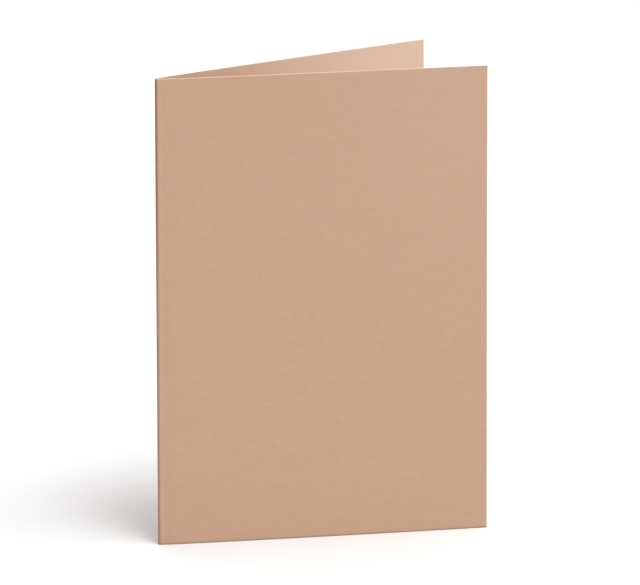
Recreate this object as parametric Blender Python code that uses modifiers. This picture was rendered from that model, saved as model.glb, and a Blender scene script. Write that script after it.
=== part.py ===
"""Plain greeting card: one sheet of card stock, folded once and standing part open.

The front and back panels meet at a scored fold, and the card stands on its bottom edges.
Units are metres. +Z runs up the fold, and +X runs from the fold to the open side.
The front panel is on the -Y side, and the card is symmetric about the plane y = 0.
The origin is the middle of the card's footprint, on the surface that the card stands on.
"""

import math

import bpy
from mathutils import Vector

MM = 0.001

# The sheet: a panel's width runs from the middle of the fold to the free edge
PANEL_WIDTH = 105.0 * MM
PANEL_HEIGHT = 148.0 * MM
STOCK_THICKNESS = 0.50 * MM
CUT_EDGE_ROUND = 0.06 * MM

# The angle between the two panels at mid-width, and how far each one bows outwards
OPENING_ANGLE = math.radians(25.0)
PANEL_BOW = 0.40 * MM

# The fold: a tight bend along the score, beside which the rest of the bend dies away
FOLD_INNER_RADIUS = 0.40 * MM
FOLD_EASE_LENGTH = 3.80 * MM
FOLD_EASE_SHARE = 0.10

# The ridge that the score leaves inside the fold, as a share of the fold's inner radius
SCORE_RIDGE_SHARE = 0.40

# Points of the section on each side of the fold, crowded towards the fold
FOLD_STATIONS = 10
PANEL_STATIONS = 16
STATION_CROWDING = 2.0
EDGE_ROUND_SEGMENTS = 2

# Edges that turn by more than this are the sheet's cut edges
CUT_EDGE_ANGLE = math.radians(35.0)

# Plain kraft stock, as a linear colour
STOCK_COLOUR = (0.597, 0.376, 0.266, 1.0)
STOCK_ROUGHNESS = 0.92

CARD_NAME = "card"
COLLECTION_NAME = "greeting_card"


def clear_scene():
    """Remove every object of the open file."""
    for old in list(bpy.data.objects):
        bpy.data.objects.remove(old, do_unlink=True)


def make_stock_material():
    """Return the material of the plain kraft stock."""
    material = bpy.data.materials.new("kraft_stock")
    material.use_nodes = True
    shader = material.node_tree.nodes["Principled BSDF"]
    shader.inputs["Base Color"].default_value = STOCK_COLOUR
    shader.inputs["Roughness"].default_value = STOCK_ROUGHNESS
    shader.inputs["Metallic"].default_value = 0.0
    material.diffuse_color = STOCK_COLOUR
    return material


def bow_turn():
    """Angle that a panel turns through over its whole width because of its bow."""
    return 8 * PANEL_BOW / PANEL_WIDTH


def fold_turn():
    """Angle that the sheet turns through from the middle of the fold to one flat panel."""
    return math.pi / 2 - OPENING_ANGLE / 2 - bow_turn() / 2


def tight_fold_length():
    """Length of the sheet's middle layer in the tight bend, on one side of its middle."""
    middle_radius = FOLD_INNER_RADIUS + STOCK_THICKNESS / 2
    return middle_radius * fold_turn() * (1 - FOLD_EASE_SHARE)


def heading(distance):
    """Angle between the front panel and the plane y = 0, a distance from the fold's middle.

    The distance is measured along the middle layer of the sheet.
    """
    tight = tight_fold_length()
    if distance < tight:
        return math.pi / 2 - fold_turn() * (1 - FOLD_EASE_SHARE) * distance / tight
    ease = fold_turn() * FOLD_EASE_SHARE * math.exp((tight - distance) / FOLD_EASE_LENGTH)
    bow = bow_turn() * (0.5 - (distance - tight) / (PANEL_WIDTH - tight))
    return OPENING_ANGLE / 2 + bow + ease


def ridge_height(distance):
    """Height of the score's ridge on the inner face, highest in the middle of the fold."""
    tight = tight_fold_length()
    if distance > tight:
        return 0.0
    return SCORE_RIDGE_SHARE * FOLD_INNER_RADIUS * math.cos(math.pi / 2 * distance / tight) ** 2


def station_distances():
    """Distances from the fold's middle at which one panel's section gets its points."""
    tight = tight_fold_length()
    fold = [tight * i / FOLD_STATIONS for i in range(FOLD_STATIONS)]
    flat = PANEL_WIDTH - tight
    panel = [tight + flat * (i / PANEL_STATIONS) ** STATION_CROWDING for i in range(PANEL_STATIONS + 1)]
    return fold + panel


def front_section():
    """Return the outer and the inner points of the front panel's section, fold first.

    The middle layer is walked from the fold in short steps, each along its own heading.
    """
    point = Vector((0.0, 0.0))
    last = 0.0
    outer = []
    inner = []
    for distance in station_distances():
        along = heading((last + distance) / 2)
        point = point + (distance - last) * Vector((math.cos(along), -math.sin(along)))
        here = heading(distance)
        outward = Vector((-math.sin(here), -math.cos(here)))
        outer.append(point + outward * STOCK_THICKNESS / 2)
        inner.append(point - outward * (STOCK_THICKNESS / 2 + ridge_height(distance)))
        last = distance
    return outer, inner


def back_points(front_points):
    """Mirror the front panel's points to the back panel, without the one on y = 0."""
    return [Vector((point.x, -point.y)) for point in front_points[1:]]


def card_outline():
    """Closed outline of the folded sheet seen from above, centred on its footprint."""
    outer, inner = front_section()
    outside = outer[::-1] + back_points(outer)
    inside = back_points(inner)[::-1] + inner
    outline = outside + inside
    left = min(point.x for point in outline)
    right = max(point.x for point in outline)
    centre = Vector(((left + right) / 2, 0.0))
    return [point - centre for point in outline]


def make_card(material, collection):
    """Extrude the folded section to the card's height and soften its cut edges."""
    outline = card_outline()
    curve = bpy.data.curves.new(CARD_NAME, type="CURVE")
    curve.dimensions = "2D"
    curve.fill_mode = "BOTH"
    curve.extrude = PANEL_HEIGHT / 2
    spline = curve.splines.new("POLY")
    spline.points.add(len(outline) - 1)
    for control, point in zip(spline.points, outline):
        control.co = (point.x, point.y, 0.0, 1.0)
    spline.use_cyclic_u = True
    curve.materials.append(material)
    card = bpy.data.objects.new(CARD_NAME, curve)
    card.location.z = PANEL_HEIGHT / 2
    collection.objects.link(card)
    weld = card.modifiers.new("join_caps", "WELD")
    weld.merge_threshold = STOCK_THICKNESS / 100
    cut_edges = card.modifiers.new("cut_edges", "BEVEL")
    cut_edges.width = CUT_EDGE_ROUND
    cut_edges.segments = EDGE_ROUND_SEGMENTS
    cut_edges.limit_method = "ANGLE"
    cut_edges.angle_limit = CUT_EDGE_ANGLE
    return card


def main():
    """Build the card in a collection of its own."""
    clear_scene()
    collection = bpy.data.collections.new(COLLECTION_NAME)
    bpy.context.scene.collection.children.link(collection)
    make_card(make_stock_material(), collection)


main()
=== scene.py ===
"""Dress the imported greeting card: a blank kraft card, folded once and standing part open.

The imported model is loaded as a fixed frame. A finely shaped folded sheet takes the place
of its plain solid, gets the finish of uncoated kraft stock, and stands on a pale studio
floor. Lengths are in metres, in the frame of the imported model: +Z runs up the fold, +X
from the fold to the open side, and the front panel is on the -Y side. The pattern of the
stock is laid out on the flat sheet, in millimetres.
"""

import logging
import math
from abc import ABC, abstractmethod
from dataclasses import dataclass, field
from enum import Enum
from typing import ClassVar

import bmesh
import bpy
from mathutils import Matrix, Vector, noise


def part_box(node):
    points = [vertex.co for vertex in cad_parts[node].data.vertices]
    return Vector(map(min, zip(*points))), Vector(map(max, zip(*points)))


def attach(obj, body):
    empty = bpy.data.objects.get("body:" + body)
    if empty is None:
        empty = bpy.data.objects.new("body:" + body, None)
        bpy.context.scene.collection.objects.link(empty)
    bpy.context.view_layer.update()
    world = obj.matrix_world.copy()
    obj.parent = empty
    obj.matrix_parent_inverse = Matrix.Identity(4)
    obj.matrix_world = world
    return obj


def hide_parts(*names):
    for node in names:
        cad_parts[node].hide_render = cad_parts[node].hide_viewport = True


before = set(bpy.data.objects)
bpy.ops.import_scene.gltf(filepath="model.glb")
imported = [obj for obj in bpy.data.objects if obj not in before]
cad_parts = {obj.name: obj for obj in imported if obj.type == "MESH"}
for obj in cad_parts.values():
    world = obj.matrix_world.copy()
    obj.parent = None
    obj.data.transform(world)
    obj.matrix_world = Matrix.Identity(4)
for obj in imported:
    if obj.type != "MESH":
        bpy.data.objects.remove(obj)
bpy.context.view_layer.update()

MM = 0.001
CARD_NODE = "card"
STOCK_SLOT = "kraft_stock"

log = logging.getLogger("greeting_card")

Colour = tuple[float, float, float]
Span = tuple[float, float]
Socket = bpy.types.NodeSocket


def span(shares: Span, size: float) -> Span:
    """Return a range whose two ends are given as shares of a size."""
    start, end = shares
    return start * size, end * size


class Grain(Enum):
    """The way in which most fibres of the stock lie, as an angle from the sheet's width."""

    ACROSS_FOLD = 0.0
    ALONG_FOLD = math.pi / 2


class NodeBench:
    """A short way to lay out the nodes of one material or world."""

    def __init__(self, tree: bpy.types.NodeTree) -> None:
        """Take the node tree of a material or of the world, and empty it."""
        self.tree = tree
        self.tree.nodes.clear()

    def add(self, kind: str, **settings: object) -> bpy.types.Node:
        """Add a node.

        Args:
            kind: The node's type, as bpy names it.
            settings: Properties to set on the node.

        Returns:
            The new node.
        """
        node = self.tree.nodes.new(kind)
        for name, value in settings.items():
            setattr(node, name, value)
        return node

    def feed(self, socket: Socket, value: object) -> None:
        """Link an output into a socket, or set the socket's own value.

        Args:
            socket: The input socket.
            value: An output socket, a number, a colour or a vector.
        """
        if isinstance(value, bpy.types.NodeSocket):
            self.tree.links.new(value, socket)
        elif socket.type == "RGBA":
            socket.default_value = (*value, 1.0)
        else:
            socket.default_value = value

    def attribute(self, name: str) -> bpy.types.Node:
        """Return a node that reads one of the piece's own attributes."""
        return self.add("ShaderNodeAttribute", attribute_type="GEOMETRY", attribute_name=name)

    def math(self, operation: str, first: object, second: object = 0.0) -> Socket:
        """Add a Math node.

        Args:
            operation: What it does, as bpy names it.
            first: Its first value.
            second: Its second value, where it takes one.

        Returns:
            The result.
        """
        node = self.add("ShaderNodeMath", operation=operation)
        self.feed(node.inputs[0], first)
        self.feed(node.inputs[1], second)
        return node.outputs[0]

    def product(self, *values: object) -> Socket:
        """Multiply values together.

        Args:
            values: Outputs and numbers.

        Returns:
            Their product.
        """
        amount = values[0]
        for value in values[1:]:
            amount = self.math("MULTIPLY", amount, value)
        return amount

    def total(self, *values: object) -> Socket:
        """Add values together.

        Args:
            values: Outputs and numbers.

        Returns:
            Their sum.
        """
        amount = values[0]
        for value in values[1:]:
            amount = self.math("ADD", amount, value)
        return amount

    def ramp(self, value: object, source: Span, target: Span = (0.0, 1.0)) -> Socket:
        """Take a value smoothly from one range to another and hold it there.

        Args:
            value: The value to remap.
            source: The two ends of the range that it comes from.
            target: What those two ends become.

        Returns:
            The remapped value.
        """
        node = self.add("ShaderNodeMapRange", interpolation_type="SMOOTHSTEP", clamp=True)
        self.feed(node.inputs["Value"], value)
        for name, number in zip(("From Min", "From Max", "To Min", "To Max"), (*source, *target)):
            node.inputs[name].default_value = number
        return node.outputs["Result"]

    def blend(self, amount: object, below: object, above: object) -> Socket:
        """Mix two colours.

        Args:
            amount: How much of the upper colour shows, from 0 to 1.
            below: The lower colour.
            above: The upper colour.

        Returns:
            The mixed colour.
        """
        node = self.add("ShaderNodeMix", data_type="RGBA", blend_type="MIX", clamp_factor=True)
        sockets = {socket.name: socket for socket in node.inputs if socket.enabled}
        self.feed(sockets["Factor"], amount)
        self.feed(sockets["A"], below)
        self.feed(sockets["B"], above)
        return next(socket for socket in node.outputs if socket.enabled)

    def vector(self, first: object, second: object, third: object = 0.0) -> Socket:
        """Make a vector.

        Args:
            first: Its X.
            second: Its Y.
            third: Its Z.

        Returns:
            The vector.
        """
        node = self.add("ShaderNodeCombineXYZ")
        for socket, part in zip(node.inputs, (first, second, third)):
            self.feed(socket, part)
        return node.outputs["Vector"]

    def parts(self, vector: Socket) -> tuple[Socket, Socket, Socket]:
        """Take a vector apart.

        Args:
            vector: The vector.

        Returns:
            Its X, Y and Z.
        """
        node = self.add("ShaderNodeSeparateXYZ")
        self.feed(node.inputs["Vector"], vector)
        return node.outputs["X"], node.outputs["Y"], node.outputs["Z"]

    def vector_math(self, operation: str, first: object, second: object) -> Socket:
        """Add a Vector Math node.

        Args:
            operation: What it does, as bpy names it.
            first: Its first vector.
            second: Its second vector.

        Returns:
            The result.
        """
        node = self.add("ShaderNodeVectorMath", operation=operation)
        self.feed(node.inputs[0], first)
        self.feed(node.inputs[1], second)
        return node.outputs["Vector"]

    def turned(self, place: Socket, turn: float) -> Socket:
        """Turn a place in the plane of the sheet.

        Args:
            place: The place.
            turn: The angle.

        Returns:
            The turned place.
        """
        if not turn:
            return place
        node = self.add("ShaderNodeMapping", vector_type="POINT")
        self.feed(node.inputs["Vector"], place)
        node.inputs["Rotation"].default_value = (0.0, 0.0, turn)
        return node.outputs["Vector"]

    def scaled(self, place: Socket, along: float, across: float, shift: float) -> Socket:
        """Return a place in the cells of a pattern.

        Args:
            place: The place in millimetres.
            along: How many cells fit in a millimetre along the grain.
            across: How many cells fit in a millimetre across the grain.
            shift: How far the pattern is slid, in cells, to part it from the others.

        Returns:
            The place in cells.
        """
        node = self.add("ShaderNodeMapping", vector_type="POINT")
        self.feed(node.inputs["Vector"], place)
        node.inputs["Location"].default_value = (shift, shift, shift)
        node.inputs["Scale"].default_value = (along, across, 1.0)
        return node.outputs["Vector"]


@dataclass(frozen=True)
class Patches:
    """One layer of soft patches in the stock.

    Attributes:
        along: How many patches fit in a millimetre along the grain.
        across: How many patches fit in a millimetre across the grain.
        detail: Number of finer layers that lie on the patches.
        rough: Strength of each finer layer, as a share of the one before.
        shift: Slides the layer away from the others, in patches.
        tint: How far the layer changes what it tints.
        rise: How far it stands out, as a share of the stock's relief.
    """

    # Takes the usual reach of the noise, 0.25 to 0.75, to -1 and 1
    SWING: ClassVar[float] = 4.0

    along: float
    across: float
    detail: float = 2.0
    rough: float = 0.6
    shift: float = 0.0
    tint: float = 0.0
    rise: float = 0.0

    def level(self, bench: NodeBench, place: Socket) -> Socket:
        """Lay out the nodes of the patches.

        Args:
            bench: The bench of the material.
            place: The place in the stock's pattern.

        Returns:
            The patches as soft noise from 0 to 1.
        """
        node = bench.add("ShaderNodeTexNoise", noise_dimensions="3D", normalize=True)
        bench.feed(node.inputs["Vector"], bench.scaled(place, self.along, self.across, self.shift))
        node.inputs["Scale"].default_value = 1.0
        node.inputs["Detail"].default_value = self.detail
        node.inputs["Roughness"].default_value = self.rough
        return node.outputs["Fac"]

    def swing(self, bench: NodeBench, place: Socket) -> Socket:
        """Return the patches as soft noise about 0, mostly within -1 and 1."""
        return bench.product(bench.math("SUBTRACT", self.level(bench, place), 0.5), self.SWING)


@dataclass(frozen=True)
class Patchy:
    """A strength that changes from patch to patch.

    Attributes:
        patches: The patches.
        levels: Levels of the patches between which the strength changes.
        strengths: The strengths that it changes from and to.
    """

    patches: Patches
    levels: Span
    strengths: Span = (0.0, 1.0)

    def strength(self, bench: NodeBench, place: Socket) -> Socket:
        """Return the strength at a place in the stock's pattern."""
        return bench.ramp(self.patches.level(bench, place), self.levels, self.strengths)


@dataclass(frozen=True)
class Strokes:
    """One family of short marks in the stock, such as fibres or bark specks.

    Attributes:
        length: Length of a mark in millimetres.
        breadth: Breadth of a mark in millimetres.
        share: Share of the pattern's cells that hold a mark.
        turn: Angle of the marks from the grain.
        wander: How far a mark strays from a straight line, in millimetres.
        shift: Slides the family away from the others, in cells.
    """

    # Share of its cell that a mark fills, bends in its length, and strength of the faintest mark
    FILL: ClassVar[float] = 0.7
    BENDS: ClassVar[float] = 1.5
    FAINTEST: ClassVar[float] = 0.35

    length: float
    breadth: float
    share: float
    turn: float = 0.0
    wander: float = 0.0
    shift: float = 0.0

    def strength(self, bench: NodeBench, place: Socket) -> Socket:
        """Lay out the nodes that draw the marks.

        Args:
            bench: The bench of the material.
            place: The place in the stock's pattern.

        Returns:
            How strongly a mark shows at each place, from 0 to 1.
        """
        if self.wander:
            bends = self.BENDS / self.length
            stray = Patches(bends, bends, detail=1.0, rough=0.5, shift=self.shift)
            lift = bench.product(stray.swing(bench, place), self.wander)
            place = bench.vector_math("ADD", place, bench.vector(0.0, lift))
        place = bench.turned(place, self.turn)
        cells = (self.FILL / self.length, self.FILL / self.breadth)
        grid = bench.add(
            "ShaderNodeTexVoronoi", voronoi_dimensions="2D", feature="F1", distance="EUCLIDEAN"
        )
        bench.feed(grid.inputs["Vector"], bench.scaled(place, *cells, self.shift))
        grid.inputs["Scale"].default_value = 1.0
        chance = bench.add("ShaderNodeSeparateColor")
        bench.feed(chance.inputs["Color"], grid.outputs["Color"])
        chosen = bench.math("GREATER_THAN", chance.outputs["Red"], 1.0 - self.share)
        body = bench.ramp(grid.outputs["Distance"], (self.FILL / 2, 0.0))
        weight = bench.ramp(chance.outputs["Green"], (0.0, 1.0), (self.FAINTEST, 1.0))
        return bench.product(chosen, body, weight)


@dataclass(frozen=True)
class Marks:
    """Families of strokes that show in the stock in one tone.

    Attributes:
        families: The strokes.
        tone: Their tone.
        tint: How far a full mark takes the stock to that tone.
        rise: How far a full mark stands out, as a share of the stock's relief.
        drop: How far the marks lie below their families' own places, in millimetres, as the
            painted shadows under the loose fibres do.
    """

    families: tuple[Strokes, ...]
    tone: Colour
    tint: float
    rise: float = 0.0
    drop: float = 0.0

    def strength(self, bench: NodeBench, place: Socket) -> Socket:
        """Lay out the nodes of all the families.

        Args:
            bench: The bench of the material.
            place: The place in the stock's pattern.

        Returns:
            How strongly the marks show at each place.
        """
        if self.drop:
            place = bench.vector_math("ADD", place, (0.0, self.drop, 0.0))
        return bench.total(*(family.strength(bench, place) for family in self.families))


@dataclass(frozen=True)
class Spot:
    """What the stock's material knows of the place that it colours, in millimetres.

    Attributes:
        beside: Distance from the middle of the fold.
        up: Height above the bottom edge.
        outer: 1 on the outer face and 0 on the inner one.
        cut: 1 on the cut faces and 0 on the skins.
        pattern: Place in the stock's pattern, which differs between the two faces.
        fold: Length of the tight bend on one side of the fold's middle.
        width: Width of a panel.
        height: Height of a panel.
    """

    beside: Socket
    up: Socket
    outer: Socket
    cut: Socket
    pattern: Socket
    fold: float
    width: float
    height: float


class WearAndPaintedLight(ABC):
    """One layer over the stock, either wear or painted light and shade, which takes the stock to a
    tone of its own in some places.

    Attributes:
        tone: The tone.
    """

    tone: Colour

    def shade(self, bench: NodeBench, spot: Spot) -> object:
        """Return the tone at the place, which most of these layers have everywhere."""
        return self.tone

    @abstractmethod
    def amount(self, bench: NodeBench, spot: Spot) -> Socket:
        """Lay out the nodes of the layer.

        Args:
            bench: The bench of the material.
            spot: The place on the sheet.

        Returns:
            How much of the layer shows, from 0 to 1.
        """


@dataclass(frozen=True)
class PaintedSheen(WearAndPaintedLight):
    """Painted sheen: a pale, greyer veil painted on the inner face, growing towards its free edge,
    and on the outer face at its top corners.

    Attributes:
        tone: The pale tone of the painted sheen.
        reach: Distance from the fold at which the painted sheen on the inner face is full, in
            widths.
        least: Painted sheen on the inner face at the fold.
        corner: Painted sheen on the outer face at its top corners.
        corner_span: Distances from the fold between which that grows, in widths.
        top_span: Heights between which it grows, in heights of the panel.
    """

    tone: Colour = (0.662, 0.484, 0.373)
    reach: float = 0.82
    least: float = 0.06
    corner: float = 0.22
    corner_span: Span = (0.2, 1.0)
    top_span: Span = (0.3, 1.0)

    def amount(self, bench: NodeBench, spot: Spot) -> Socket:
        """Lay out the nodes of the painted sheen.

        Args:
            bench: The bench of the material.
            spot: The place on the sheet.

        Returns:
            How much of the painted sheen shows, from 0 to 1.
        """
        inner = bench.math("SUBTRACT", 1.0, spot.outer)
        outwards = bench.ramp(spot.beside, (0.0, self.reach * spot.width), (self.least, 1.0))
        beside = bench.ramp(spot.beside, span(self.corner_span, spot.width))
        high = bench.ramp(spot.up, span(self.top_span, spot.height))
        return bench.total(
            bench.product(inner, outwards),
            bench.product(spot.outer, beside, high, self.corner),
        )


@dataclass(frozen=True)
class PaintedFoldShade(WearAndPaintedLight):
    """Painted shade along the outside of the fold, where its curve turns away from the light.

    Attributes:
        tone: The tone of the painted shade at the foot of the fold.
        upper_shade_tone: The browner tone that it has higher up.
        browned: Heights between which it turns browner, in heights of the panel.
        edges: Where the band ends and where it is full, in lengths of the tight bend.
        darkening_span: Heights between which the painted shade grows stronger, in heights of the
            panel.
        least: Strength of the band below them.
        uneven: Strength of the painted shade from patch to patch.
    """

    tone: Colour = (0.308, 0.212, 0.155)
    upper_shade_tone: Colour = (0.320, 0.172, 0.070)
    browned: Span = (0.22, 0.42)
    edges: Span = (1.04, 0.52)
    darkening_span: Span = (0.50, 0.80)
    least: float = 0.66
    uneven: Patchy = Patchy(
        Patches(1.2, 0.5, detail=3.0, rough=0.65, shift=61.0), (0.30, 0.60), (0.72, 0.90)
    )

    def shade(self, bench: NodeBench, spot: Spot) -> Socket:
        """Return the tone at the place, which turns browner up the fold."""
        browner = bench.ramp(spot.up, span(self.browned, spot.height))
        return bench.blend(browner, self.tone, self.upper_shade_tone)

    def amount(self, bench: NodeBench, spot: Spot) -> Socket:
        """Lay out the nodes of the painted shade along the fold.

        Args:
            bench: The bench of the material.
            spot: The place on the sheet.

        Returns:
            How much of the painted shade shows, from 0 to 1.
        """
        near = bench.ramp(spot.beside, span(self.edges, spot.fold))
        high = bench.ramp(spot.up, span(self.darkening_span, spot.height), (self.least, 1.0))
        uneven = self.uneven.strength(bench, spot.pattern)
        return bench.product(spot.outer, near, high, uneven)


@dataclass(frozen=True)
class PaintedContactShade(WearAndPaintedLight):
    """Painted shade just above the bottom edges, where the card stands on the floor.

    Attributes:
        tone: The tone of the painted shade.
        heights: Heights at which the dust ends and at which it is full, in millimetres.
        uneven: Strength of the painted shade from patch to patch.
    """

    tone: Colour = (0.330, 0.245, 0.190)
    heights: Span = (0.60, 0.12)
    uneven: Patchy = Patchy(
        Patches(0.8, 0.8, detail=3.0, shift=79.0), (0.30, 0.65), (0.55, 0.85)
    )

    def amount(self, bench: NodeBench, spot: Spot) -> Socket:
        """Return how much of the painted shade shows at the place, from 0 to 1."""
        low = bench.ramp(spot.up, self.heights)
        return bench.product(low, self.uneven.strength(bench, spot.pattern))


@dataclass(frozen=True)
class CutFibreAndTopHighlight(WearAndPaintedLight):
    """Pale fibre ends on the cut faces, and a broken fringe below the top ones, partly pale fibre
    and partly painted highlight.

    Attributes:
        tone: The tone of cut fibre ends.
        fringe: Depth of the fringe, partly painted highlight, in millimetres.
        strength: Strength of the fringe where it is strongest.
        broken: How the fringe comes and goes from patch to patch.
    """

    tone: Colour = (0.815, 0.650, 0.520)
    fringe: float = 0.45
    strength: float = 0.5
    broken: Patchy = Patchy(Patches(1.4, 1.4, detail=3.0, shift=71.0), (0.45, 0.75))

    def amount(self, bench: NodeBench, spot: Spot) -> Socket:
        """Lay out the nodes of the cut faces and the fringe.

        Args:
            bench: The bench of the material.
            spot: The place on the sheet.

        Returns:
            How much of the pale fibre ends and the painted highlight shows, from 0 to 1.
        """
        below_top = bench.math("SUBTRACT", spot.height, spot.up)
        fringe = bench.ramp(below_top, (self.fringe, 0.0))
        broken = self.broken.strength(bench, spot.pattern)
        return bench.math("MAXIMUM", spot.cut, bench.product(fringe, broken, self.strength))


# The tones and the families of the stock's fibres, flecks and specks, and of the painted shadows
# under the loose fibres
PALE_FIBRE: Colour = (0.740, 0.520, 0.400)
DARK_FIBRE_AND_SHADOW: Colour = (0.310, 0.185, 0.125)
LONG_FIBRES = Strokes(length=6.5, breadth=0.30, share=0.012, turn=0.06, wander=0.90, shift=3.0)
SHORT_FIBRES = Strokes(length=2.4, breadth=0.26, share=0.016, turn=-0.14, wander=0.25, shift=17.0)
DARK_FIBRES = Strokes(length=2.6, breadth=0.26, share=0.012, turn=0.18, wander=0.30, shift=29.0)
STRAY_FIBRES = Strokes(length=2.2, breadth=0.24, share=0.006, turn=1.05, wander=0.40, shift=41.0)
SPECKS = Strokes(length=1.90, breadth=0.72, share=0.009, turn=0.12, shift=53.0)
FLECKS = Strokes(length=2.60, breadth=1.00, share=0.030, turn=-0.08, shift=67.0)
LOOSE_FIBRES = Strokes(length=3.4, breadth=0.76, share=0.024, turn=0.06, wander=0.10, shift=83.0)


@dataclass(frozen=True)
class KraftStock:
    """Uncoated kraft card stock: its tones, its fibres, its small wear, and the light and shade
    painted into it.

    Attributes:
        tone: The stock's middle tone.
        olive: The tone to which its green patches drift.
        rosy: The tone to which its pink patches drift.
        drift: The drift from the one to the other.
        straw: The tone of straw-coloured pulp.
        pulp: How much of that pulp shows.
        clouds: The broad changes of lightness.
        mottle: The small changes of lightness.
        warmth: The small changes of blue.
        streaks: The fine streaks along the grain.
        grit: The finest grain of the skin.
        inner_painted_shade: Painted shade on the inner face: its lightness beside the fold,
            against the outer face.
        painted_shoulder_highlight: Painted highlight: how much lighter the skins are beside the
            score, where its shoulders catch the light.
        painted_highlight_span: Where that ends and where it is full, in lengths of the tight bend.
        marks: The fibres, flecks and specks, and the painted shadows under the loose fibres, in
            the order in which they lie on each other.
        wear_and_painted_light: The kinds of wear, painted sheen and painted shade, in the order in
            which they lie over the marks.
        roughness: Mean surface roughness.
        roughness_swing: How far the grit changes it.
        diffuse_roughness: Roughness of the skin in diffuse light.
        specular: Level of the skin's specular reflection.
        relief: Height of the surface relief in metres.
        relief_share: How much of the relief bends the surface normal.
        grain: The way in which most fibres lie.
        face_blend: Half the depth in which one face's look turns into the other's, in
            millimetres.
        face_gap: How far the pattern slides for each millimetre through the stock.
    """

    tone: Colour = (0.587, 0.367, 0.255)
    olive: Colour = (0.576, 0.371, 0.254)
    rosy: Colour = (0.598, 0.363, 0.256)
    drift: Patchy = Patchy(Patches(0.16, 0.20, detail=3.0, rough=0.55), (0.32, 0.68))
    straw: Colour = (0.603, 0.384, 0.240)
    pulp: Patchy = Patchy(Patches(0.17, 0.24, rough=0.55, shift=97.0), (0.54, 0.72), (0.0, 0.45))
    clouds: Patches = Patches(0.07, 0.09, detail=3.0, shift=7.0, tint=0.013)
    mottle: Patches = Patches(0.30, 0.34, shift=37.0, tint=0.024)
    warmth: Patches = Patches(0.26, 0.30, shift=19.0, tint=0.028)
    streaks: Patches = Patches(0.22, 3.0, detail=3.0, shift=5.0, tint=0.006, rise=0.25)
    grit: Patches = Patches(2.2, 3.4, shift=11.0, tint=0.010, rise=0.30)
    # Painted shade: the inner face is darker than the outer one, most of all beside the fold
    inner_painted_shade: float = 0.912
    # Painted highlight: the skins are lighter beside the score
    painted_shoulder_highlight: float = 0.050
    painted_highlight_span: Span = (3.6, 1.6)
    marks: tuple[Marks, ...] = (
        Marks((LONG_FIBRES, SHORT_FIBRES), PALE_FIBRE, tint=0.26, rise=0.55),
        Marks((DARK_FIBRES, STRAY_FIBRES), DARK_FIBRE_AND_SHADOW, tint=0.14, rise=0.45),
        Marks((FLECKS,), PALE_FIBRE, tint=0.22),
        # Painted shadow: dark dashes 0.40 mm below each loose fibre, under the raised fibres of
        # the next line
        Marks((LOOSE_FIBRES,), DARK_FIBRE_AND_SHADOW, tint=0.12, drop=0.40),
        Marks((LOOSE_FIBRES,), PALE_FIBRE, tint=0.26, rise=2.00),
        Marks((SPECKS,), DARK_FIBRE_AND_SHADOW, tint=0.24),
    )
    # Painted sheen, painted shade along the fold, painted shade above the bottom edges, and pale
    # cut fibre ends with a partly painted highlight
    wear_and_painted_light: tuple[WearAndPaintedLight, ...] = (PaintedSheen(), PaintedFoldShade(), PaintedContactShade(), CutFibreAndTopHighlight())
    roughness: float = 0.72
    roughness_swing: float = 0.03
    diffuse_roughness: float = 0.5
    specular: float = 0.5
    relief: float = 0.03 * MM
    relief_share: float = 0.6
    grain: Grain = Grain.ACROSS_FOLD
    face_blend: float = 0.05
    face_gap: float = 437.0

    def material(self, name: str, sheet: "FoldedSheet") -> bpy.types.Material:
        """Make the stock's material.

        Args:
            name: The name of the material.
            sheet: The sheet that is dressed, for its sizes and the names of its attributes.

        Returns:
            The material, which reads the sheet's own attributes.
        """
        made = bpy.data.materials.new(name)
        made.use_nodes = True
        made.diffuse_color = (*self.tone, 1.0)
        bench = NodeBench(made.node_tree)
        spot = self._spot(bench, sheet)
        streaks = self.streaks.swing(bench, spot.pattern)
        grit = self.grit.swing(bench, spot.pattern)
        colour = self._tones(bench, spot, streaks, grit)
        raised = [bench.product(grit, self.grit.rise), bench.product(streaks, self.streaks.rise)]
        for marks in self.marks:
            strength = marks.strength(bench, spot.pattern)
            colour = bench.blend(bench.product(strength, marks.tint), colour, marks.tone)
            if marks.rise:
                raised.append(bench.product(strength, marks.rise))
        # Wear and painted light: sheen, shade and highlight painted into the colour, and the pale
        # cut fibre ends
        for wear_and_painted_light in self.wear_and_painted_light:
            colour = bench.blend(wear_and_painted_light.amount(bench, spot), colour, wear_and_painted_light.shade(bench, spot))
        bump = bench.add("ShaderNodeBump")
        bump.inputs["Strength"].default_value = self.relief_share
        bump.inputs["Distance"].default_value = self.relief
        bench.feed(bump.inputs["Height"], bench.total(*raised))
        roughness = bench.total(self.roughness, bench.product(grit, self.roughness_swing))
        shader = bench.add("ShaderNodeBsdfPrincipled")
        bench.feed(shader.inputs["Base Color"], colour)
        bench.feed(shader.inputs["Roughness"], roughness)
        bench.feed(shader.inputs["Normal"], bump.outputs["Normal"])
        shader.inputs["Metallic"].default_value = 0.0
        shader.inputs["Specular IOR Level"].default_value = self.specular
        shader.inputs["Diffuse Roughness"].default_value = self.diffuse_roughness
        output = bench.add("ShaderNodeOutputMaterial")
        bench.feed(output.inputs["Surface"], shader.outputs["BSDF"])
        return made

    def _spot(self, bench: NodeBench, sheet: "FoldedSheet") -> Spot:
        """Read the sheet's own attributes and sizes.

        Args:
            bench: The bench of the material.
            sheet: The sheet that is dressed.

        Returns:
            The place that the material colours.
        """
        across, up, through = bench.parts(bench.attribute(sheet.PLACE).outputs["Vector"])
        slid = bench.total(across, bench.product(through, self.face_gap))
        return Spot(
            beside=bench.math("ABSOLUTE", across),
            up=up,
            outer=bench.ramp(through, (-self.face_blend, self.face_blend)),
            cut=bench.attribute(sheet.CUT).outputs["Fac"],
            pattern=bench.turned(bench.vector(slid, up), self.grain.value),
            fold=sheet.tight_length() / MM,
            width=sheet.panel_width / MM,
            height=sheet.height / MM,
        )

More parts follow.
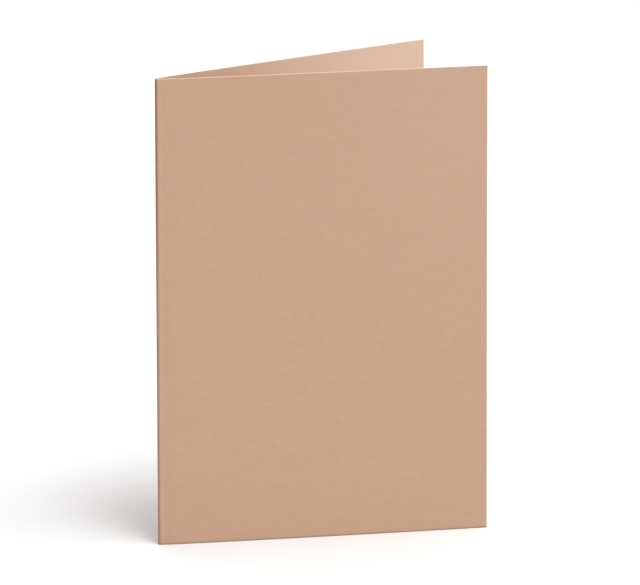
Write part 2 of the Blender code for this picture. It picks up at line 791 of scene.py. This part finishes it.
    def _tones(self, bench: NodeBench, spot: Spot, streaks: Socket, grit: Socket) -> Socket:
        """Lay out the nodes of the bare stock, with the painted shade of the inner face and the
        painted highlight beside the score, and without marks or the layers over them.

        Args:
            bench: The bench of the material.
            spot: The place on the sheet.
            streaks: The swing of the streaks there.
            grit: The swing of the grit there.

        Returns:
            The stock's colour.
        """
        place = spot.pattern
        tint = bench.blend(self.drift.strength(bench, place), self.olive, self.rosy)
        tint = bench.blend(self.pulp.strength(bench, place), tint, self.straw)
        # Painted highlight beside the score
        near_fold = bench.ramp(spot.beside, span(self.painted_highlight_span, spot.fold))
        # Lightness, with painted shade on the inner face and the painted highlight beside the
        # score
        light = bench.total(
            bench.product(spot.outer, 1.0 - self.inner_painted_shade),
            self.inner_painted_shade,
            bench.product(self.clouds.swing(bench, place), self.clouds.tint),
            bench.product(self.mottle.swing(bench, place), self.mottle.tint),
            bench.product(streaks, self.streaks.tint),
            bench.product(grit, self.grit.tint),
            bench.product(near_fold, self.painted_shoulder_highlight),
        )
        blue = bench.product(self.warmth.swing(bench, place), self.warmth.tint)
        shade = bench.vector(light, light, bench.total(light, blue))
        return bench.vector_math("MULTIPLY", tint, shade)


@dataclass
class FoldedSheet:
    """The card itself: one sheet with a front panel, a scored fold and a back panel.

    Attributes:
        room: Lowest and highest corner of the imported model, which the sheet fills.
        panel_width: Width of a panel, from the middle of the fold to its free edge.
        stock: Thickness of the stock.
        cut_round: Radius to which the cut edges are worn.
        round_segments: Number of segments in a worn edge.
        hold: Distance from an edge at which the panels start to shade flat, in worn radii.
        opening: Angle between the panels at mid-width.
        bow: How far each panel bows outwards over its width.
        fold_radius: Inner radius of the fold.
        ease_length: Length over which the bend beside the fold dies away.
        ease_share: Share of the fold's turn that lies in that stretch.
        ridge_share: Height of the score's ridge, as a share of the fold's inner radius.
        cockle: Height of the stock's slow waves.
        wave_size: Width and height of one of them.
        wave_layer: Layer of the noise from which they are taken.
        wave_start: Distance from the fold over which they grow, in widths of a panel.
        curl: How far the middle of a free edge curls inwards.
        clearance: How far inside its room the sheet keeps.
        columns: Number of columns in a panel.
        rows: Number of rows in the sheet.
        crowding: How strongly the columns crowd towards the fold, where 1 spaces them evenly.
        finish: The finish of the stock.
    """

    # Names of the sheet's own attributes
    PLACE: ClassVar[str] = "sheet_mm"
    CUT: ClassVar[str] = "cut_edge"

    # Steps in which the tight bend is walked, and digits that tell two columns apart
    BEND_STEPS: ClassVar[int] = 40
    COLUMN_DIGITS: ClassVar[int] = 9

    room: tuple[Vector, Vector]
    panel_width: float = 105.0 * MM
    stock: float = 0.50 * MM
    cut_round: float = 0.06 * MM
    round_segments: int = 3
    hold: float = 3.0
    opening: float = math.radians(25.0)
    bow: float = 0.40 * MM
    fold_radius: float = 0.40 * MM
    ease_length: float = 3.80 * MM
    ease_share: float = 0.10
    ridge_share: float = 0.40
    cockle: float = 0.10 * MM
    wave_size: Span = (60 * MM, 75 * MM)
    wave_layer: float = 2.5
    wave_start: float = 0.25
    curl: float = 0.30 * MM
    clearance: float = 0.004 * MM
    columns: int = 96
    rows: int = 72
    crowding: float = 2.2
    finish: KraftStock = field(default_factory=KraftStock)

    @property
    def height(self) -> float:
        """Height of the card."""
        low, high = self.room
        return high.z - low.z

    def bow_turn(self) -> float:
        """Return the angle that a panel turns through because of its bow."""
        return 8 * self.bow / self.panel_width

    def fold_turn(self) -> float:
        """Return the angle from the middle of the fold to one flat panel."""
        return math.pi / 2 - self.opening / 2 - self.bow_turn() / 2

    def tight_length(self) -> float:
        """Return the length of the tight bend on one side of the fold's middle."""
        return (self.fold_radius + self.stock / 2) * self.fold_turn() * (1 - self.ease_share)

    def heading(self, distance: float) -> float:
        """Return the angle between the front panel and the plane y = 0.

        Args:
            distance: Distance from the fold's middle along the sheet's middle layer.

        Returns:
            The angle in radians.
        """
        tight = self.tight_length()
        if distance < tight:
            return math.pi / 2 - self.fold_turn() * (1 - self.ease_share) * distance / tight
        dying = math.exp((tight - distance) / self.ease_length)
        ease = self.fold_turn() * self.ease_share * dying
        bow = self.bow_turn() * (0.5 - (distance - tight) / (self.panel_width - tight))
        return self.opening / 2 + bow + ease

    def ridge(self, distance: float) -> float:
        """Return the height of the score's ridge on the inner face.

        Args:
            distance: Distance from the fold's middle along the sheet's middle layer.

        Returns:
            The height, which is highest in the middle of the fold.
        """
        tight = self.tight_length()
        if distance > tight:
            return 0.0
        return self.ridge_share * self.fold_radius * math.cos(math.pi / 2 * distance / tight) ** 2

    def middle_layer(self, distances: list[float]) -> dict[float, Vector]:
        """Walk the front panel's middle layer from the fold.

        Args:
            distances: Distances from the fold's middle, in rising order.

        Returns:
            The point in plan at each distance, with the fold's middle at the origin.
        """
        stride = self.tight_length() / self.BEND_STEPS
        point = Vector((0.0, 0.0))
        last = 0.0
        found = {}
        for distance in distances:
            steps = max(1, math.ceil((distance - last) / stride))
            for step in range(steps):
                along = self.heading(last + (distance - last) * (step + 0.5) / steps)
                course = Vector((math.cos(along), -math.sin(along)))
                point = point + (distance - last) / steps * course
            found[distance] = point
            last = distance
        return found

    def flat_blank(self) -> bmesh.types.BMesh:
        """Cut the flat sheet: a thin slab with worn edges and rows and columns to bend by.

        Returns:
            The slab, with X across both panels, Y up the card and Z through the stock.
        """
        blank = bmesh.new()
        bmesh.ops.create_cube(blank, size=1.0)
        size = Vector((2 * self.panel_width, self.height, self.stock))
        bmesh.ops.scale(blank, vec=size, verts=blank.verts)
        middle = Vector((0.0, self.height / 2, 0.0))
        bmesh.ops.translate(blank, vec=middle, verts=blank.verts)
        bmesh.ops.bevel(
            blank,
            geom=blank.edges[:],
            offset=self.cut_round,
            affect="EDGES",
            segments=self.round_segments,
            profile=0.5,
            material=-1,
        )
        self._divide(blank, axis=0, cuts=2 * self.columns - 1)
        self._divide(blank, axis=1, cuts=self.rows - 1)
        self._crowd_columns(blank)
        self._hold_edges(blank)
        return blank

    def _divide(self, blank: bmesh.types.BMesh, axis: int, cuts: int) -> None:
        """Divide the slab's long edges along one axis.

        Args:
            blank: The slab, which is changed in place.
            axis: The axis, 0 for X and 1 for Y.
            cuts: The number of cuts.
        """
        reach = self.panel_width / 2
        along = [
            edge
            for edge in blank.edges
            if abs(edge.verts[0].co[axis] - edge.verts[1].co[axis]) > reach
        ]
        bmesh.ops.subdivide_edges(blank, edges=along, cuts=cuts, use_grid_fill=True)

    def _crowd_columns(self, blank: bmesh.types.BMesh) -> None:
        """Crowd the columns towards the fold, and leave the worn edges as they are.

        Args:
            blank: The slab, which is changed in place.
        """
        reach = self.panel_width - self.cut_round
        for vert in blank.verts:
            share = abs(vert.co.x) / reach
            if share < 1.0:
                vert.co.x = math.copysign(reach * share**self.crowding, vert.co.x)

    def _hold_edges(self, blank: bmesh.types.BMesh) -> None:
        """Cut a row or column just inside each edge, so that the panels shade flat up to it.

        Args:
            blank: The slab, which is changed in place.
        """
        inset = self.hold * self.cut_round
        across = Vector((1.0, 0.0, 0.0))
        up = Vector((0.0, 1.0, 0.0))
        lines = (
            ((self.panel_width - inset) * across, across),
            ((inset - self.panel_width) * across, across),
            (inset * up, up),
            ((self.height - inset) * up, up),
        )
        for point, normal in lines:
            whole = blank.verts[:] + blank.edges[:] + blank.faces[:]
            bmesh.ops.bisect_plane(blank, geom=whole, plane_co=point, plane_no=normal)

    def _mark_places(self, blank: bmesh.types.BMesh) -> None:
        """Store each point's place on the flat sheet, and how far it lies on a cut face.

        Args:
            blank: The slab, which is given the two attributes.
        """
        place = blank.verts.layers.float_vector.new(self.PLACE)
        cut = blank.verts.layers.float.new(self.CUT)
        for vert in blank.verts:
            vert[place] = vert.co / MM
            from_skin = self.stock / 2 - abs(vert.co.z)
            vert[cut] = min(1.0, from_skin / self.cut_round)

    def wave(self, across: float, up: float) -> float:
        """Return how far the sheet stands out of its smooth bend at a place.

        Args:
            across: Signed distance from the fold.
            up: Height above the bottom edge.

        Returns:
            The distance outwards.
        """
        wide, high = self.wave_size
        slow = noise.noise(Vector((across / wide, up / high, self.wave_layer)))
        free = abs(across) / self.panel_width
        mid_height = 1 - (2 * up / self.height - 1) ** 2
        waves = self.cockle * slow * min(1.0, free / self.wave_start)
        return waves - self.curl * mid_height * free**3

    def _column(self, vert: bmesh.types.BMVert) -> float:
        """Return a point's distance from the fold's middle, equal for a whole column."""
        return round(abs(vert.co.x), self.COLUMN_DIGITS)

    def fold(self, blank: bmesh.types.BMesh) -> None:
        """Bend the flat slab round the score into the standing card.

        Args:
            blank: The flat slab, which is changed in place.
        """
        layer = self.middle_layer(sorted({self._column(vert) for vert in blank.verts}))
        for vert in blank.verts:
            distance = self._column(vert)
            angle = self.heading(distance)
            outward = Vector((-math.sin(angle), -math.cos(angle)))
            depth = vert.co.z + self.wave(vert.co.x, vert.co.y)
            if vert.co.z < 0.0:
                depth -= self.ridge(distance) * min(1.0, -2 * vert.co.z / self.stock)
            plan = layer[distance] + outward * depth
            side = -1.0 if vert.co.x < 0.0 else 1.0
            vert.co = Vector((plan.x, side * plan.y, vert.co.y))

    def settle(self, card: bmesh.types.BMesh) -> None:
        """Settle the bent sheet in its room, which its waves leave by hundredths of a millimetre.

        Args:
            card: The bent sheet, which is changed in place.
        """
        low, high = self.room
        for axis in (0, 1):
            start = min(vert.co[axis] for vert in card.verts)
            end = max(vert.co[axis] for vert in card.verts)
            size = Vector((1.0, 1.0, 1.0))
            size[axis] = (high[axis] - low[axis] - 2 * self.clearance) / (end - start)
            move = Vector((0.0, 0.0, 0.0))
            move[axis] = low[axis] + self.clearance - start * size[axis]
            bmesh.ops.scale(card, vec=size, verts=card.verts)
            bmesh.ops.translate(card, vec=move, verts=card.verts)

    def build(self) -> bpy.types.Object:
        """Make the folded sheet, dress it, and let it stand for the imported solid.

        Returns:
            The finished object.
        """
        card = self.flat_blank()
        self._mark_places(card)
        self.fold(card)
        self.settle(card)
        bmesh.ops.recalc_face_normals(card, faces=card.faces)
        mesh = bpy.data.meshes.new("folded_sheet")
        card.to_mesh(mesh)
        card.free()
        mesh.shade_smooth()
        mesh.materials.append(self.finish.material(STOCK_SLOT, self))
        piece = bpy.data.objects.new("folded_sheet", mesh)
        bpy.context.scene.collection.objects.link(piece)
        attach(piece, "root")
        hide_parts(CARD_NODE)
        return piece


@dataclass(frozen=True)
class Softbox:
    """One large, far light of the studio.

    Attributes:
        name: The light's name.
        turn: Its direction from the card, counted from the camera towards the camera's right.
        height: Its direction above the floor.
        spread: The angle that it fills as seen from the card.
        strength: The light that it casts on a surface facing it, in watts per square metre.
    """

    name: str
    turn: float
    height: float
    spread: float
    strength: float

    def hang(self, yaw: float) -> bpy.types.Object:
        """Hang the light.

        Args:
            yaw: The camera's direction of view, turned from +Y towards +X.

        Returns:
            The light.
        """
        lamp = bpy.data.lights.new(self.name, type="SUN")
        lamp.energy = self.strength
        lamp.angle = self.spread
        light = bpy.data.objects.new(self.name, lamp)
        heading = Matrix.Rotation(self.turn - yaw, 4, "Z")
        light.matrix_world = heading @ Matrix.Rotation(math.pi / 2 - self.height, 4, "X")
        bpy.context.scene.collection.objects.link(light)
        return light


@dataclass(frozen=True)
class PaleFloor:
    """The matt, pale finish of the floor.

    Attributes:
        tone: Its tone as the camera sees it.
        return_tone: Its tone in the light that it throws back at the card.
    """

    tone: Colour = (0.80, 0.80, 0.80)
    return_tone: Colour = (0.62, 0.62, 0.62)

    def material(self, name: str) -> bpy.types.Material:
        """Make the floor's material.

        Args:
            name: The name of the material.

        Returns:
            The material.
        """
        made = bpy.data.materials.new(name)
        made.use_nodes = True
        bench = NodeBench(made.node_tree)
        seen = bench.add("ShaderNodeLightPath").outputs["Is Camera Ray"]
        matt = bench.add("ShaderNodeBsdfDiffuse")
        bench.feed(matt.inputs["Color"], bench.blend(seen, self.return_tone, self.tone))
        output = bench.add("ShaderNodeOutputMaterial")
        bench.feed(output.inputs["Surface"], matt.outputs["BSDF"])
        return made


@dataclass
class Studio:
    """A pale floor, soft plain light and the camera.

    Attributes:
        floor_finish: The finish of the floor.
        floor_reach: Half the side of the floor.
        floor_drop: How far the floor lies below the card's cut edge.
        sky: Strength of the even light from all round.
        softboxes: The lights.
        sensor: Width of the camera's sensor in millimetres.
        lens: Focal length in millimetres.
        clip: The nearest and the farthest distance that the camera sees.
        eye: Where the camera stands.
        yaw: Direction of view, turned from +Y towards +X.
        pitch: How far the view looks down.
        roll: How far the picture is turned.
    """

    floor_finish: PaleFloor = field(default_factory=PaleFloor)
    floor_reach: float = 8.0
    floor_drop: float = 0.10 * MM
    sky: float = 0.47
    softboxes: tuple[Softbox, ...] = (
        Softbox("front_light", math.radians(20), math.radians(50), math.radians(24), 0.565),
        Softbox("high_light", math.radians(40), math.radians(60), math.radians(30), 1.322),
        Softbox("side_light", math.radians(95), math.radians(22), math.radians(50), 2.142),
        Softbox("back_light", math.radians(180), math.radians(62), math.radians(50), 0.815),
    )
    sensor: float = 36.0
    lens: float = 450.0
    clip: Span = (0.1, 50.0)
    eye: Vector = field(default_factory=lambda: Vector((-0.99698, -2.22721, 0.62596)))
    yaw: float = math.radians(24.210)
    pitch: float = math.radians(12.709)
    roll: float = math.radians(-0.163)

    def floor(self) -> bpy.types.Object:
        """Lay the floor.

        Returns:
            The floor.
        """
        sheet = bmesh.new()
        bmesh.ops.create_grid(sheet, x_segments=1, y_segments=1, size=self.floor_reach)
        down = Vector((0.0, 0.0, -self.floor_drop))
        bmesh.ops.translate(sheet, vec=down, verts=sheet.verts)
        mesh = bpy.data.meshes.new("floor")
        sheet.to_mesh(mesh)
        sheet.free()
        mesh.materials.append(self.floor_finish.material("pale_floor"))
        floor = bpy.data.objects.new("floor", mesh)
        bpy.context.scene.collection.objects.link(floor)
        return floor

    def world(self) -> None:
        """Light the scene evenly from all round, and show white behind it."""
        world = bpy.data.worlds.new("studio")
        world.use_nodes = True
        bpy.context.scene.world = world
        bench = NodeBench(world.node_tree)
        path = bench.add("ShaderNodeLightPath").outputs
        seen = bench.math("MAXIMUM", path["Is Camera Ray"], path["Is Transmission Ray"])
        sky = bench.add("ShaderNodeBackground")
        bench.feed(sky.inputs["Color"], (1.0, 1.0, 1.0))
        bench.feed(sky.inputs["Strength"], bench.ramp(seen, (0.0, 1.0), (self.sky, 1.0)))
        output = bench.add("ShaderNodeOutputWorld")
        bench.feed(output.inputs["Surface"], sky.outputs["Background"])

    def camera(self) -> bpy.types.Object:
        """Set up the camera at the photograph's viewing angle.

        Returns:
            The camera.
        """
        optics = bpy.data.cameras.new("camera")
        optics.sensor_width = self.sensor
        optics.lens = self.lens
        optics.clip_start, optics.clip_end = self.clip
        eye = bpy.data.objects.new("camera", optics)
        turn = Matrix.Rotation(-self.yaw, 4, "Z")
        tip = Matrix.Rotation(math.pi / 2 - self.pitch, 4, "X")
        tilt = Matrix.Rotation(self.roll, 4, "Z")
        eye.matrix_world = Matrix.Translation(self.eye) @ turn @ tip @ tilt
        bpy.context.scene.collection.objects.link(eye)
        bpy.context.scene.camera = eye
        return eye

    def build(self) -> None:
        """Set up the whole studio."""
        self.world()
        lights = [box.hang(self.yaw) for box in self.softboxes]
        for made in (self.floor(), *lights, self.camera()):
            log.info("studio: %s", made.name)
        bpy.context.scene.view_settings.view_transform = "Standard"


def main() -> None:
    """Build the card and the studio round it."""
    logging.basicConfig(level=logging.INFO, format="%(name)s: %(message)s")
    card = FoldedSheet(room=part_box(CARD_NODE)).build()
    log.info("%s: %d faces", card.name, len(card.data.polygons))
    Studio().build()


if __name__ == "__main__":
    main()
